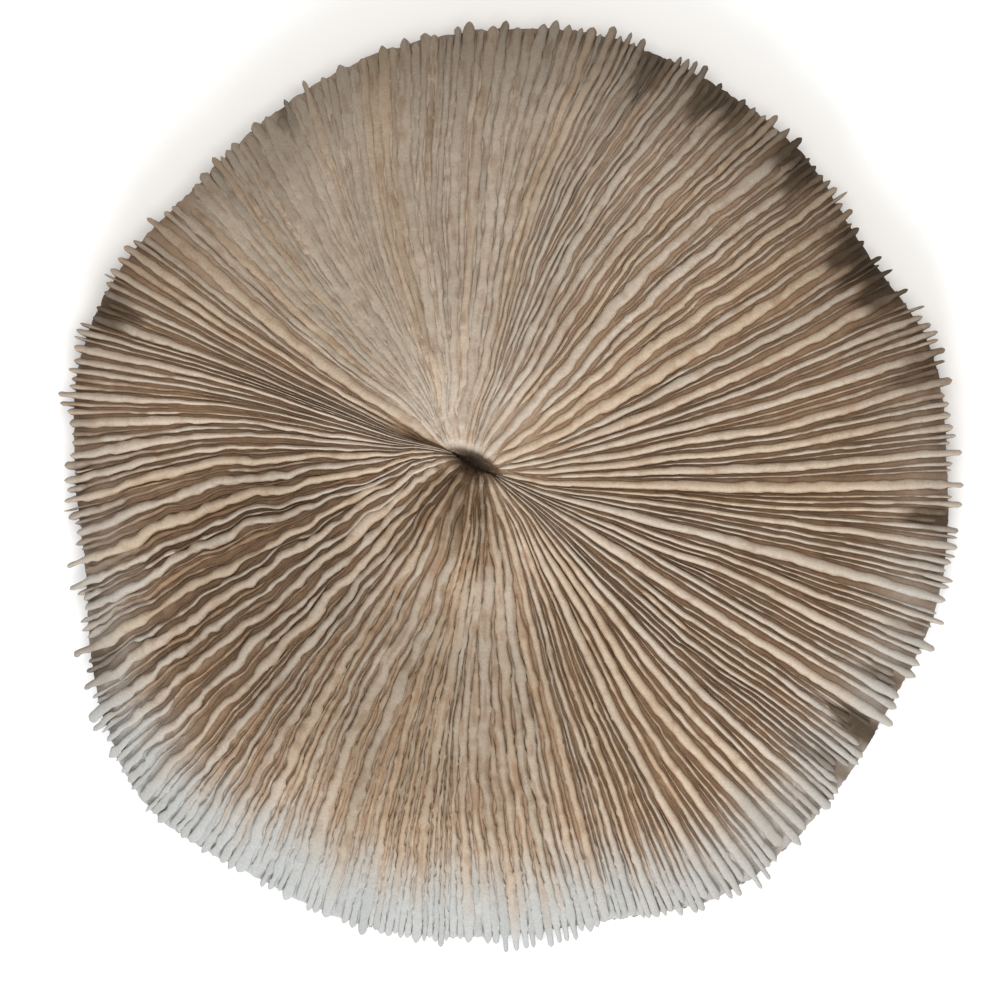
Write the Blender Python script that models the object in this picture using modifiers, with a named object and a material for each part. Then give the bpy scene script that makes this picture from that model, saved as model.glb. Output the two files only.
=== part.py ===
"""Mushroom coral: the bare skeleton of a disc coral that lived loose on a reef, as one solid.

The disc stands on its underside with +Z up. It is a low dome of upright radial blades, the septa, which
meet at a slit-like mouth. Each septum runs on over the rim and under the disc as a low rib, a costa. In
the middle of the underside is the flat scar where the young coral broke off its stalk.

The disc is turned as a smooth blank, and each point of the blank is then moved to where the coral grew it.
"""

import math
import random

import bmesh
import bpy
from mathutils import Vector

MM = 0.001
NAME = "mushroom_coral"

# Place of the mouth, measured from the middle of the disc's box
MOUTH_X = -4.5 * MM
MOUTH_Y = 1.9 * MM

# Heights above the surface that the disc stands on
CROWN_Z = 30.0 * MM
RIM_Z = 6.0 * MM
DOME_POWER = 2.2
SHOULDER_POWER = 0.75

# How the disc grew, read every 15 degrees counter-clockwise from +X round the mouth:
# the rim's radius in millimetres, then how many degrees a septum has swung by the middle of its run,
# then how many more it swings where it reaches the mouth
GROWTH = (
    (77.6, -2, -8),
    (77.6, -2, -5),
    (73.8, -2, -6),
    (75.2, 4, 0),
    (75.2, 6, 9),
    (75.3, 5, 11),
    (73.6, 4, 16),
    (71.8, 6, 14),
    (69.4, 3, 6),
    (67.8, 3, 0),
    (69.6, 2, 3),
    (70.2, -3, -1),
    (68.6, -6, -9),
    (69.0, -5, -15),
    (74.6, -2, -20),
    (79.2, -2, -13),
    (77.8, -4, -6),
    (78.6, -2, 4),
    (77.8, -3, 6),
    (78.0, 0, 8),
    (81.4, -1, 10),
    (80.0, -2, 7),
    (78.6, 0, 1),
    (79.0, 0, -6),
)
SWING_RADIUS = 32.0 * MM
MOUTH_RADIUS = 9.6 * MM
MOUTH_SWING_FADE = 12.0 * MM

# The mouth is a slit, and its pit is deepest in the middle
SLIT_BEARING = math.radians(152)
SLIT_HALF_LENGTH = 4.2 * MM
SLIT_REACH = 16.0 * MM
SLIT_SHIFT = 2.4 * MM
PIT_HALF_LENGTH = 5.4 * MM
PIT_HALF_WIDTH = 2.6 * MM
PIT_DEPTH = 11.0 * MM

# Septa: every fourth is one of the first that reached the mouth, and later ones start further out
SEPTA = 96
COLUMNS = 2 * SEPTA
FIRST_START = 0.0
SECOND_START = 7.0 * MM
LATER_START = 20.0 * MM
START_SPREAD = 5.0 * MM
START_FADE = 7.0 * MM
SECOND_DROP = 0.3 * MM
LATER_DROP = 1.3 * MM
GAP_DEPTH_AT_MOUTH = 1.4 * MM
GAP_DEPTH = 4.6 * MM
GAP_FULL_RADIUS = 30.0 * MM
TOOTH_HEIGHT = 0.35 * MM
SEPTUM_WANDER = 0.16

# The wall between two septa stands back from their tips
WALL_SETBACK = 3.4 * MM
LATER_SETBACK = 1.3 * MM
WALL_TOP_Z = 6.4 * MM
WALL_FOOT_Z = 3.2 * MM

# Underside
COSTA_HEIGHT = 1.1 * MM
HOLLOW_HEIGHT = 2.6 * MM
HOLLOW_SHARE = 0.30
FOOT_SHARE = 0.55
FOOT_END_SHARE = 0.88
SCAR_RADIUS = 10.0 * MM

# Rings of the turned blank, as shares of the rim's radius, from the mouth out and then back to the scar
TOP_SHARES = (0.02, 0.05, 0.085, 0.13, 0.19, 0.26, 0.34, 0.44, 0.55, 0.66, 0.77, 0.87, 0.94, 0.98)
UNDER_SHARES = (0.97, 0.92, 0.86, 0.72, 0.52, 0.32, 0.17)
SAME_RING = 0.005
BLANK_RADIUS = 75.0 * MM
BLANK_RIM_Z = 5.0 * MM

CORAL_COLOUR = (0.56, 0.46, 0.35, 1.0)
CORAL_ROUGHNESS = 0.9


def clear_scene():
    for old in list(bpy.data.objects):
        bpy.data.objects.remove(old)


def eased(value):
    """0 below 0, 1 above 1, and smooth between."""
    share = min(1.0, max(0.0, value))
    return share * share * (3 - 2 * share)


def growth_at(bearing, kind):
    """One column of GROWTH at a bearing in radians, on a smooth closed curve through its entries."""
    place = bearing / math.tau * len(GROWTH)
    index = math.floor(place)
    share = place - index
    before, start, end, after = (GROWTH[(index + step) % len(GROWTH)][kind] for step in (-1, 0, 1, 2))
    slope_in = (end - before) / 2
    slope_out = (after - start) / 2
    return (
        start * (2 * share**3 - 3 * share**2 + 1)
        + slope_in * (share**3 - 2 * share**2 + share)
        + end * (3 * share**2 - 2 * share**3)
        + slope_out * (share**3 - share**2)
    )


def rim_radius(bearing):
    return growth_at(bearing, 0) * MM


def on_septum(bearing, radius):
    """The point, seen from above, that a septum bound for this bearing at the rim passes at a radius."""
    rim = rim_radius(bearing)
    swing = growth_at(bearing, 1) * eased((rim - radius) / (rim - SWING_RADIUS))
    past_mouth = max(0.0, radius - MOUTH_RADIUS)
    swing += growth_at(bearing, 2) * math.exp(-past_mouth / MOUTH_SWING_FADE)
    turned = bearing + math.radians(swing)
    along_slit = SLIT_SHIFT + SLIT_HALF_LENGTH * math.cos(bearing - SLIT_BEARING)
    along_slit *= eased(1 - radius / SLIT_REACH)
    return Vector((
        MOUTH_X + radius * math.cos(turned) + along_slit * math.cos(SLIT_BEARING),
        MOUTH_Y + radius * math.sin(turned) + along_slit * math.sin(SLIT_BEARING),
    ))


def on_costa(bearing, radius):
    """The point, seen from above, that a costa passes at a radius: costae run straight to the scar."""
    return Vector((MOUTH_X + radius * math.cos(bearing), MOUTH_Y + radius * math.sin(bearing)))


def dome_height(share):
    """Height of the septa's upper edges at a share of the rim's radius, before the pit of the mouth."""
    return RIM_Z + (CROWN_Z - RIM_Z) * (1 - share**DOME_POWER) ** SHOULDER_POWER


def pit_depth(place):
    """How far the mouth sinks the surface at a point seen from above."""
    offset = place - Vector((MOUTH_X, MOUTH_Y))
    along = offset.dot(Vector((math.cos(SLIT_BEARING), math.sin(SLIT_BEARING)))) - SLIT_SHIFT
    across = offset.dot(Vector((-math.sin(SLIT_BEARING), math.cos(SLIT_BEARING))))
    reach = math.hypot(along / PIT_HALF_LENGTH, across / PIT_HALF_WIDTH)
    return PIT_DEPTH * (1 - eased(reach / 1.6))


def gap_depth(radius):
    """Depth of the gap between two septa below their upper edges."""
    opened = eased(radius / GAP_FULL_RADIUS)
    return GAP_DEPTH_AT_MOUTH + (GAP_DEPTH - GAP_DEPTH_AT_MOUTH) * opened


def underside_height(share):
    """Height of the costae's lower edges: a foot that the disc stands on, round a shallow hollow."""
    if share > FOOT_END_SHARE:
        past = (share - FOOT_END_SHARE) / (1 - FOOT_END_SHARE)
        return RIM_Z * past**1.6
    if share > FOOT_SHARE:
        return 0.0
    if share > HOLLOW_SHARE:
        return HOLLOW_HEIGHT * eased((FOOT_SHARE - share) / (FOOT_SHARE - HOLLOW_SHARE))
    return HOLLOW_HEIGHT


class Septa:
    """The size and place of each septum, which vary a little as grown ones do."""

    def __init__(self):
        chance = random.Random(11)
        self.starts = []
        self.drops = []
        self.wander = []
        self.teeth = []
        for number in range(SEPTA):
            start, drop = self.order_of(number)
            spread = START_SPREAD if start else 0.0
            self.starts.append(start + chance.uniform(-spread, spread))
            self.drops.append(drop * chance.uniform(0.6, 1.3))
            self.wander.append(chance.uniform(-SEPTUM_WANDER, SEPTUM_WANDER))
            self.teeth.append([chance.uniform(-TOOTH_HEIGHT, TOOTH_HEIGHT) for _ in TOP_SHARES])

    @staticmethod
    def order_of(number):
        if number % 4 == 0:
            return FIRST_START, 0.0
        if number % 4 == 2:
            return SECOND_START, SECOND_DROP
        return LATER_START, LATER_DROP

    @staticmethod
    def is_later(number):
        return number % 2 == 1

    def standing(self, number, radius):
        """1 where the septum stands at full height and 0 before its inner end."""
        if self.starts[number] <= 0:
            return 1.0
        return eased((radius - self.starts[number]) / START_FADE)


def upper_point(septa, column, ring, share):
    """Where a point on the blank's upper face goes."""
    number, is_gap = divmod(column, 2)
    bearing = math.tau * column / COLUMNS
    if not is_gap:
        bearing += math.tau / SEPTA * septa.wander[number] * eased(share * 4)
    tip = rim_radius(bearing)
    if is_gap:
        reach = tip - WALL_SETBACK
    else:
        reach = tip - (LATER_SETBACK if septa.is_later(number) else 0.0)
    radius = share * reach
    place = on_septum(bearing, radius)
    height = dome_height(share)
    depth = gap_depth(radius)
    if is_gap:
        height -= depth
        wall = eased((share - TOP_SHARES[-3]) / (TOP_SHARES[-1] - TOP_SHARES[-3]))
        height += (WALL_TOP_Z - height) * wall
    else:
        raised = septa.standing(number, radius)
        height -= depth * (1 - raised) + septa.drops[number] * raised
        height += septa.teeth[number][ring] * raised
    height -= pit_depth(place)
    return place, height


def rim_point(septa, column):
    """Where a point on the blank's edge goes: a septum's tip, or the wall between two."""
    number, is_gap = divmod(column, 2)
    bearing = math.tau * column / COLUMNS
    if is_gap:
        middle = (WALL_TOP_Z + WALL_FOOT_Z) / 2
        return on_costa(bearing, rim_radius(bearing) - WALL_SETBACK), middle
    bearing += math.tau / SEPTA * septa.wander[number]
    setback = LATER_SETBACK if septa.is_later(number) else 0.0
    return on_costa(bearing, rim_radius(bearing) - setback), RIM_Z


def under_point(septa, column, share):
    """Where a point on the blank's lower face goes."""
    number, is_gap = divmod(column, 2)
    bearing = math.tau * column / COLUMNS
    if share < UNDER_SHARES[-1] + SAME_RING:
        return on_costa(bearing, SCAR_RADIUS), 0.0
    if not is_gap:
        bearing += math.tau / SEPTA * septa.wander[number] * eased(share * 4)
    radius = share * rim_radius(bearing)
    height = underside_height(share)
    if is_gap:
        radius -= WALL_SETBACK * eased((share - 0.6) / 0.37)
        past = eased((share - FOOT_END_SHARE) / (UNDER_SHARES[0] - FOOT_END_SHARE))
        height += COSTA_HEIGHT * eased((radius - SCAR_RADIUS) / SCAR_RADIUS)
        height += (WALL_FOOT_Z - height) * past
    return on_costa(bearing, radius), height


def turned_blank():
    """The smooth lens that the coral is worked from, open at the mouth and at the scar."""
    profile = bpy.data.meshes.new("blank_profile")
    points = [(share * BLANK_RADIUS, 0.0, BLANK_RIM_Z + dome_height(share)) for share in TOP_SHARES]
    points.append((BLANK_RADIUS, 0.0, BLANK_RIM_Z))
    points += [(share * BLANK_RADIUS, 0.0, 0.0) for share in UNDER_SHARES]
    profile.from_pydata(points, [(i, i + 1) for i in range(len(points) - 1)], [])
    blank = bpy.data.objects.new("blank", profile)
    bpy.context.scene.collection.objects.link(blank)
    turn = blank.modifiers.new("turn", "SCREW")
    turn.angle = math.tau
    turn.steps = COLUMNS
    turn.render_steps = COLUMNS
    turn.use_merge_vertices = True
    turn.merge_threshold = 0.00001
    bpy.context.view_layer.update()
    turned = bpy.data.meshes.new_from_object(blank.evaluated_get(bpy.context.evaluated_depsgraph_get()))
    bpy.data.objects.remove(blank)
    bpy.data.meshes.remove(profile)
    return turned


def grow(mesh):
    """Moves each point of the blank to its grown place."""
    septa = Septa()
    for vertex in mesh.vertices:
        bearing = math.atan2(vertex.co.y, vertex.co.x) % math.tau
        column = round(bearing / math.tau * COLUMNS) % COLUMNS
        share = math.hypot(vertex.co.x, vertex.co.y) / BLANK_RADIUS
        if share > 1 - SAME_RING:
            place, height = rim_point(septa, column)
        elif vertex.co.z > BLANK_RIM_Z:
            ring = min(range(len(TOP_SHARES)), key=lambda i: abs(TOP_SHARES[i] - share))
            place, height = upper_point(septa, column, ring, share)
        else:
            place, height = under_point(septa, column, share)
        vertex.co = (place.x, place.y, height)


def close_mouth_and_scar(mesh):
    """A floor for the pit, and one flat face for the scar."""
    shape = bmesh.new()
    shape.from_mesh(mesh)
    open_edges = [edge for edge in shape.edges if edge.is_boundary]
    closed = bmesh.ops.holes_fill(shape, edges=open_edges, sides=0)
    bmesh.ops.triangulate(shape, faces=closed["faces"], quad_method="BEAUTY", ngon_method="BEAUTY")
    bmesh.ops.recalc_face_normals(shape, faces=shape.faces)
    shape.to_mesh(mesh)
    shape.free()


def coral_material():
    material = bpy.data.materials.new("coral")
    material.use_nodes = True
    surface = material.node_tree.nodes["Principled BSDF"]
    surface.inputs["Base Color"].default_value = CORAL_COLOUR
    surface.inputs["Roughness"].default_value = CORAL_ROUGHNESS
    surface.inputs["Metallic"].default_value = 0.0
    return material


def make_coral(collection):
    mesh = turned_blank()
    mesh.name = NAME
    grow(mesh)
    close_mouth_and_scar(mesh)
    mesh.materials.append(coral_material())
    mesh.shade_smooth()
    mesh.set_sharp_from_angle(angle=math.radians(35))
    coral = bpy.data.objects.new(NAME, mesh)
    collection.objects.link(coral)
    return coral


def main():
    clear_scene()
    collection = bpy.data.collections.new(NAME)
    bpy.context.scene.collection.children.link(collection)
    make_coral(collection)


main()
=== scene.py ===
import math
from collections import namedtuple

import bpy
import numpy as np
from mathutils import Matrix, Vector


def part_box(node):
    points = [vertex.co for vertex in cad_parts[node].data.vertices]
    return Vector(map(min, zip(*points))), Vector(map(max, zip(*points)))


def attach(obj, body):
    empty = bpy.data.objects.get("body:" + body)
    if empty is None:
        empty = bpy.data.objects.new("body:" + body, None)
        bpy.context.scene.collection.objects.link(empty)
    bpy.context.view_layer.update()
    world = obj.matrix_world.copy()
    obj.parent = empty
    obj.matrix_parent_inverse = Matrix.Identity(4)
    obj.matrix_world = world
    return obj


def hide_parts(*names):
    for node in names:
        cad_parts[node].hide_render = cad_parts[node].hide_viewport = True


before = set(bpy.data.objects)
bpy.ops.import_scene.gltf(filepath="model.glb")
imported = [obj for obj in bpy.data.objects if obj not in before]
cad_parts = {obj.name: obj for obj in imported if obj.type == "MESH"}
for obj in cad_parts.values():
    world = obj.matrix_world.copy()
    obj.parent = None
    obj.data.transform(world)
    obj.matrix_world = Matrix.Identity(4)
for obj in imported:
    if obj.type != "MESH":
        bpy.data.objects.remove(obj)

bl_info = {
    "name": "Mushroom Coral",
    "version": (1, 0, 0),
    "blender": (4, 5, 0),
    "location": "View3D > Sidebar > Coral",
    "description": "Builds the bare skeleton of a mushroom coral blade by blade round its packed solid",
    "category": "Add Mesh",
}

MM = 0.001
NODE = "mushroom_coral"
BODY = "root"
CAD_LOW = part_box(NODE)[0]
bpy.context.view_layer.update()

# Place of the mouth, from the middle of the disc's box
MOUTH_X = -4.5 * MM
MOUTH_Y = 1.9 * MM

# How the disc grew, read every 15 degrees counter-clockwise from +X round the mouth, a quarter turn a line:
# the rim's radius in millimetres, how many degrees a septum has swung by the middle of its run, and how
# many more it swings where it reaches the mouth
GROWTH = np.array((
    (77.6, -2, -8), (77.6, -2, -5), (73.8, -2, -6), (75.2, 4, 0), (75.2, 6, 9), (75.3, 5, 11),
    (73.6, 4, 16), (71.8, 6, 14), (69.4, 3, 6), (67.8, 3, 0), (69.6, 2, 3), (70.2, -3, -1),
    (68.6, -6, -9), (69.0, -5, -15), (74.6, -2, -20), (79.2, -2, -13), (77.8, -4, -6), (78.6, -2, 4),
    (77.8, -3, 6), (78.0, 0, 8), (81.4, -1, 10), (80.0, -2, 7), (78.6, 0, 1), (79.0, 0, -6),
))
RADIUS, SWING, MOUTH_SWING = range(3)
SWING_RADIUS = 32.0 * MM
MOUTH_RADIUS = 9.6 * MM
MOUTH_SWING_FADE = 12.0 * MM

# The mouth is a slit, and its pit is deepest in the middle
SLIT_BEARING = math.radians(152)
SLIT_HALF_LENGTH = 3.2 * MM
SLIT_REACH = 16.0 * MM
SLIT_SHIFT = 1.8 * MM
PIT_HALF_LENGTH = 3.6 * MM
PIT_HALF_WIDTH = 1.7 * MM
PIT_REACH = 1.6
# Painted shade: the deeper parts of the pit are painted darker, and the throat's floor is painted dark for
# the shade in the hole
PIT_UNSHADED_DEPTH = 5.0 * MM
PIT_PAINTED_SHADE = 0.30
THROAT_DEPTH = 1.2 * MM
THROAT_SHARE = 0.009
THROAT_WIDENING = 0.010
THROAT_WAVES = 0.15
THROAT_BEARING = math.radians(25)
THROAT_PAINTED_SHADE = 0.5
FIRST_START = (0.7, 1.5)

# A furrow that runs out of the mouth. It has brown staining, and painted shade darkens it as a crease
FURROW_BEARING = math.radians(151)
FURROW_HALF_WIDTH = math.radians(7)
FURROW_SHARE = 0.28
FURROW_FADE = 1.6
FURROW_DEPTH = 2.2 * MM
FURROW_STAIN_AND_SHADE = 2.5
FURROW_PAINTED_SHADE = 0.6

# The dome of the blades' upper edges, and the gaps below them
DOME_POWER = 2.2
SHOULDER_POWER = 0.75
GAP_DEPTH_AT_MOUTH = 2.0 * MM
GAP_FULL_RADIUS = 30.0 * MM
MOUTH_RELIEF = 0.08
MOUTH_RELIEF_RADIUS = 18.0 * MM
WORN_RELIEF = 0.65
WORN_CLOSED = 0.9
DOTTED = 1.4

# Silt and painted shade that darken one side of the mouth: the darkness is the pit wall's shade painted on,
# and the brown and tan are silting
SILT_BEARING = math.radians(252)
SILT_FOCUS = 4.0
SILT_EDGE = 2.9
SILT_START = 0.03
SILT_SHARE = 0.32
SILT_AND_SHADE_STRENGTH = 0.85
SILT_RELIEF = 0.25
SILT_GAP = 0.25 * MM
SILT_OPENING = 0.9
SILT_STAIN_AND_SHADE = 1.6
SILT_TAN = 0.4
SILT_PAINTED_SHADE = 0.75

# Where looks come in along the radius: the share of it where each starts, and its run
BLEACH_AND_COOL_LIGHT_RISE = (0.76, 0.20)
CHIP_RISE = (0.88, 0.05)
TAN_RISE = (0.1, 0.5)
DULL_AND_SHADE_RISE = (0.70, 0.28)
SHADE_RISE = (0.16, 0.25)
SHADE_WEAKENS = (0.62, 0.20)
DOTS_RISE = (0.5, 0.2)
MOST_CHIP_DARKNESS = 0.96

# Underside, as shares of the rim's radius
HOLLOW_HEIGHT = 2.6 * MM
HOLLOW_SHARE = 0.30
FOOT_SHARE = 0.55
FOOT_END_SHARE = 0.88
RIM_POWER = 1.6
WALL_TOP_Z = 6.4 * MM
WALL_FOOT_Z = 3.2 * MM

# How the blades stand round the disc. Each entry is read at its bearing in degrees and runs into the
# next. crowd is the number of blades in 15 degrees of rim, and favour how much broader the first
# three orders are beside the rest. Five are in millimetres: drop, how far later blades stand below the
# first, sink, how much lower they are in stretches, gap, how wide the gaps are, wave, how far a blade
# strays, and notch, how far the rim steps back between groups of tips. The rest are shares: how far tips
# part into fingers, how nearly the last two orders rise to the first, and how deep the gaps are, how often
# bridged, and how nearly closed in stretches.
Shape = namedtuple("Shape", "bearing crowd favour drop sink gap wave notch finger rise relief bridge closed")
SHAPES = [Shape(*row) for row in (
    (0, 13, 1.2, 0.35, 0.3, 0.50, 0.06, 1.4, 1.0, 0.7, 0.42, 0.1, 0.0),
    (22, 13, 1.2, 0.35, 0.3, 0.48, 0.08, 1.2, 1.0, 0.7, 0.38, 0.1, 0.1),
    (45, 11, 1.3, 0.35, 0.4, 0.40, 0.16, 1.2, 0.8, 0.7, 0.32, 0.2, 0.3),
    (68, 12, 1.2, 0.35, 0.3, 0.26, 0.14, 1.4, 0.6, 0.7, 0.22, 0.3, 0.5),
    (88, 12, 1.0, 0.15, 0.1, 0.20, 0.10, 1.4, 0.3, 1.0, 0.10, 0.3, 0.9),
    (110, 10, 1.0, 0.10, 0.1, 0.16, 0.12, 2.6, 0.2, 1.0, 0.06, 0.3, 1.0),
    (135, 10, 1.0, 0.15, 0.1, 0.18, 0.12, 2.6, 0.2, 1.0, 0.07, 0.3, 1.0),
    (150, 10, 1.2, 0.50, 0.2, 0.38, 0.06, 2.0, 0.8, 0.6, 0.34, 0.1, 0.0),
    (172, 11, 1.3, 0.50, 0.4, 0.40, 0.10, 1.6, 0.7, 0.5, 0.38, 0.1, 0.0),
    (195, 12, 1.4, 1.00, 1.0, 0.40, 0.34, 1.6, 0.3, 0.1, 0.50, 0.1, 0.0),
    (218, 12, 1.4, 1.00, 1.0, 0.40, 0.36, 1.6, 0.2, 0.1, 0.46, 0.2, 0.1),
    (240, 13, 1.2, 0.60, 0.6, 0.32, 0.20, 1.0, 0.1, 0.5, 0.24, 0.4, 0.6),
    (260, 16, 1.0, 0.35, 0.3, 0.34, 0.10, 0.8, 0.5, 0.9, 0.17, 0.6, 0.8),
    (280, 16, 1.0, 0.40, 0.2, 0.36, 0.08, 1.0, 0.1, 0.8, 0.24, 0.5, 0.6),
    (305, 13, 1.2, 0.40, 0.4, 0.46, 0.06, 2.4, 0.1, 0.7, 0.40, 0.1, 0.0),
    (330, 13, 1.2, 0.40, 0.4, 0.48, 0.06, 2.4, 0.3, 0.7, 0.42, 0.1, 0.0),
)]

# How weathered and how shaded the coral is round the disc, as shares: how brown the gaps are, from staining
# and painted shade, how tan the coral is, how pale it is at the rim, from bleaching and painted cool window
# light, how dulled it is at the rim, partly painted shade, how much darker it is half way out, partly
# painted shade, and how much blades differ
WearAndShade = namedtuple("WearAndShade", "bearing stain tan bleach dull shade streak")
WEARS_AND_SHADES = [WearAndShade(*row) for row in (
    (0, 1.00, 0.08, 0.25, 0.05, 0.00, 0.08),
    (22, 0.92, 0.12, 0.00, 0.22, 0.00, 0.08),
    (45, 0.68, 0.00, 0.00, 0.46, 0.02, 0.12),
    (68, 0.52, 0.00, 0.00, 0.50, 0.11, 0.20),
    (88, 0.42, 0.05, 0.00, 0.41, 0.18, 0.27),
    (110, 0.32, 0.20, 0.00, 0.31, 0.18, 0.27),
    (135, 0.34, 0.20, 0.00, 0.27, 0.17, 0.27),
    (150, 0.70, 0.25, 0.00, 0.17, 0.00, 0.10),
    (172, 0.80, 0.15, 0.05, 0.16, 0.00, 0.08),
    (195, 0.95, 0.00, 0.35, 0.08, 0.24, 0.12),
    (218, 0.85, 0.00, 0.90, 0.04, 0.34, 0.12),
    (240, 0.68, 0.25, 1.00, 0.00, 0.42, 0.15),
    (260, 0.66, 0.48, 1.00, 0.00, 0.45, 0.15),
    (280, 0.74, 0.34, 0.95, 0.00, 0.34, 0.12),
    (305, 0.88, 0.15, 0.80, 0.08, 0.10, 0.08),
    (330, 0.90, 0.10, 0.60, 0.06, 0.05, 0.08),
)]

# Places where the rim is chipped: bearing and half width in degrees, how far the tips are broken back and
# how much lower they are in millimetres, and how dark it is there, as a share
Chip = namedtuple("Chip", "bearing half_width back lower dark")
CHIPS = [Chip(*row) for row in (
    (13, 2.0, 0.4, 0.8, 0.55),
    (28, 6.5, 0.8, 1.4, 0.92),
    (44, 3.5, 0.6, 1.2, 0.90),
    (57, 4.0, 0.8, 0.8, 0.80),
    (67, 2.0, 1.0, 0.8, 0.75),
    (106, 1.5, 1.2, 0.2, 0.10),
    (119, 1.0, 1.6, 0.6, 0.65),
    (137, 2.5, 1.6, 0.2, 0.10),
    (157, 2.5, 1.4, 0.9, 0.75),
    (174, 1.5, 1.8, 0.5, 0.30),
    (207, 2.0, 0.9, 0.9, 0.60),
    (241, 2.0, 2.2, 0.2, 0.00),
    (287, 1.5, 1.6, 0.2, 0.00),
    (308, 0.8, 2.4, 0.4, 0.10),
    (314, 1.2, 2.8, 0.4, 0.10),
    (320, 1.0, 3.2, 0.6, 0.60),
    (325.8, 1.6, 4.6, 1.0, 0.95),
    (333, 0.8, 2.4, 0.6, 0.60),
    (340, 1.0, 1.8, 0.4, 0.30),
    (354, 1.2, 4.2, 0.8, 0.80),
)]

# The orders of blades: the shares of the rim's radius where the first and the last of each start, how
# broad it is, over what share it rises to the first order, how many millimetres its tips stay behind the
# rim where they part, and how much it sinks in stretches
Order = namedtuple("Order", "name first_start last_start breadth rise_run setback sunk")
ORDERS = [Order(*row) for row in (
    ("first_septa", 0.0, 0.0, 1.30, 0.01, 0.0, 0.0),
    ("second_septa", 0.02, 0.04, 1.18, 0.05, 0.1, 0.15),
    ("third_septa", 0.05, 0.16, 1.00, 0.10, 0.3, 0.3),
    ("fourth_septa", 0.17, 0.42, 0.88, 0.36, 0.5, 1.0),
    ("fifth_septa", 0.36, 0.80, 0.76, 1.50, 0.9, 1.0),
)]
FIRST_SEPTA = 24
SEED = 7
SHARES = np.linspace(0.0, 1.0, 201)

# How the blades share the room, and how they differ
CLAIM_FADE = 0.02
CLAIM_AT_START = 0.25
BEARING_JITTER = math.radians(2.0)
BREADTH_SPREAD = 0.3
LOWERING = (0.2, 1.7)
BROAD_FIRST_SEPTA = (0, 2, 3, 13, 22, 23)
BROAD_BLADE_CHANCE = 0.10
BROAD_BLADE = 1.2
MOST_HALF_BREADTH = 0.61 * MM
LEAST_HALF_BREADTH = 0.10 * MM
INNER_TAPER = 2.0 * MM
NUDGE = math.radians(0.5)
RING_STEP = 6
LEAST_BLADE_RINGS = 24
LEAST_COSTA_RINGS = 6

# How the tips end: a tip is a slim finger or blunt, and stands out of the wall
TIP_HALF_BREADTH = 0.43 * MM
TIP_BREADTH_SPREAD = (0.75, 1.25)
TIP_SPREAD = 2.3
TIP_RUN = 4.6 * MM
TIP_GROUPS = 60
TIP_BLUNT = 0.3 * MM
TIP_POINTED = 1.0 * MM
POINTEDNESS = (0.2, 1.2)
BLUNT_SETBACK = 2.0 * MM
BROKEN_BACK = (0.5, 1.2)
SLIM_GROUP_CHANCE = 0.35
SLIM_TIP_CHANCE = 0.75
TIP_RINGS = np.array((0.60, 0.36, 0.20, 0.09, 0.02, 0.0)) * MM
TIP_LENGTH = 1.1 * MM
WALL_BLEND = 0.9 * MM

# Waves that neighbouring blades share: strength, length, turn with the bearing, and start
DRIFTS = (
    (0.5, 2.1 * MM, 9, 0.0),
    (0.3, 1.2 * MM, -17, 1.3),
    (0.2, 0.7 * MM, 31, 0.4),
)

# Lengths of a blade's own waves
STRAY_WAVE = 5.0 * MM
SINK_WAVE = 4.5 * MM
SWELL_WAVE = 11.0 * MM
RAGGED_WAVES = (4.0 * MM, 1.2 * MM)
TOOTH_WAVES = (1.1 * MM, 0.6 * MM)
BRIDGE_WAVE = 0.8 * MM
BLOTCH_WAVE = 3.0 * MM
STREAK_WAVE = 9.0 * MM

# Section of a blade: places across it as shares of its half width, and millimetres below its upper edge
# with the most that each may be as a share of its height
ACROSS = np.array((-1.2, -1.08, -0.93, -0.58, 0.0, 0.58, 0.93, 1.08, 1.2))
TIP_ACROSS = np.array((-0.5, -1.0, -0.93, -0.58, 0.0, 0.58, 0.93, 1.0, 0.5))
BELOW = np.array((9.0, 1.4, 0.5, 0.13, 0.0, 0.13, 0.5, 1.4, 9.0)) * MM
BELOW_MOST = np.array((1.0, 0.60, 0.28, 0.07, 0.0, 0.07, 0.28, 0.60, 1.0))
BRIDGE_POINTS = (2, 6)

# Section of a costa, from its root in the plate to its lower edge
COSTA_ACROSS = np.array((-1.0, -0.95, -0.5, 0.5, 0.95, 1.0))
COSTA_DOWN = np.array((0.0, 0.7, 1.0, 1.0, 0.7, 0.0))
COSTA_HALF_BREADTHS = (0.14 * MM, 0.45 * MM)
COSTA_START_RUN = 6.0 * MM
SHORTEST_COSTA = 2.0 * MM
ROOT_DEPTH = 0.6 * MM

# Rows of the plate: how deep in the throat, how many on the floor, how far down the wall, how many
# underneath and how far out on the scar, and then how uneven they are and how far along the colour ramp of
# staining and painted shade they are set
THROAT_ROWS = (1.0, 0.96, 0.85, 0.6, 0.25)
FLOOR_ROWS = 90
WALL_ROWS = (0.25, 0.5, 0.75)
UNDER_ROWS = 48
SCAR_ROWS = (1.0, 0.85, 0.6, 0.3, 0.05)
THROAT_LUMPS = 0.30 * MM
FLOOR_LUMPS = 0.35 * MM
WALL_LUMPS = 0.15 * MM
UNDER_LUMPS = 0.12 * MM
RIM_RAGGEDNESS = 0.5 * MM
FLOOR_DROP = 0.8 * MM
WALL_STAIN_AND_SHADE = 2.4
UNDER_STAIN_AND_SHADE = 1.2
SCAR_STAIN_AND_SHADE = 0.5

MERGE_DISTANCE = 0.0001
SMOOTH_ANGLE = math.radians(55)

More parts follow.
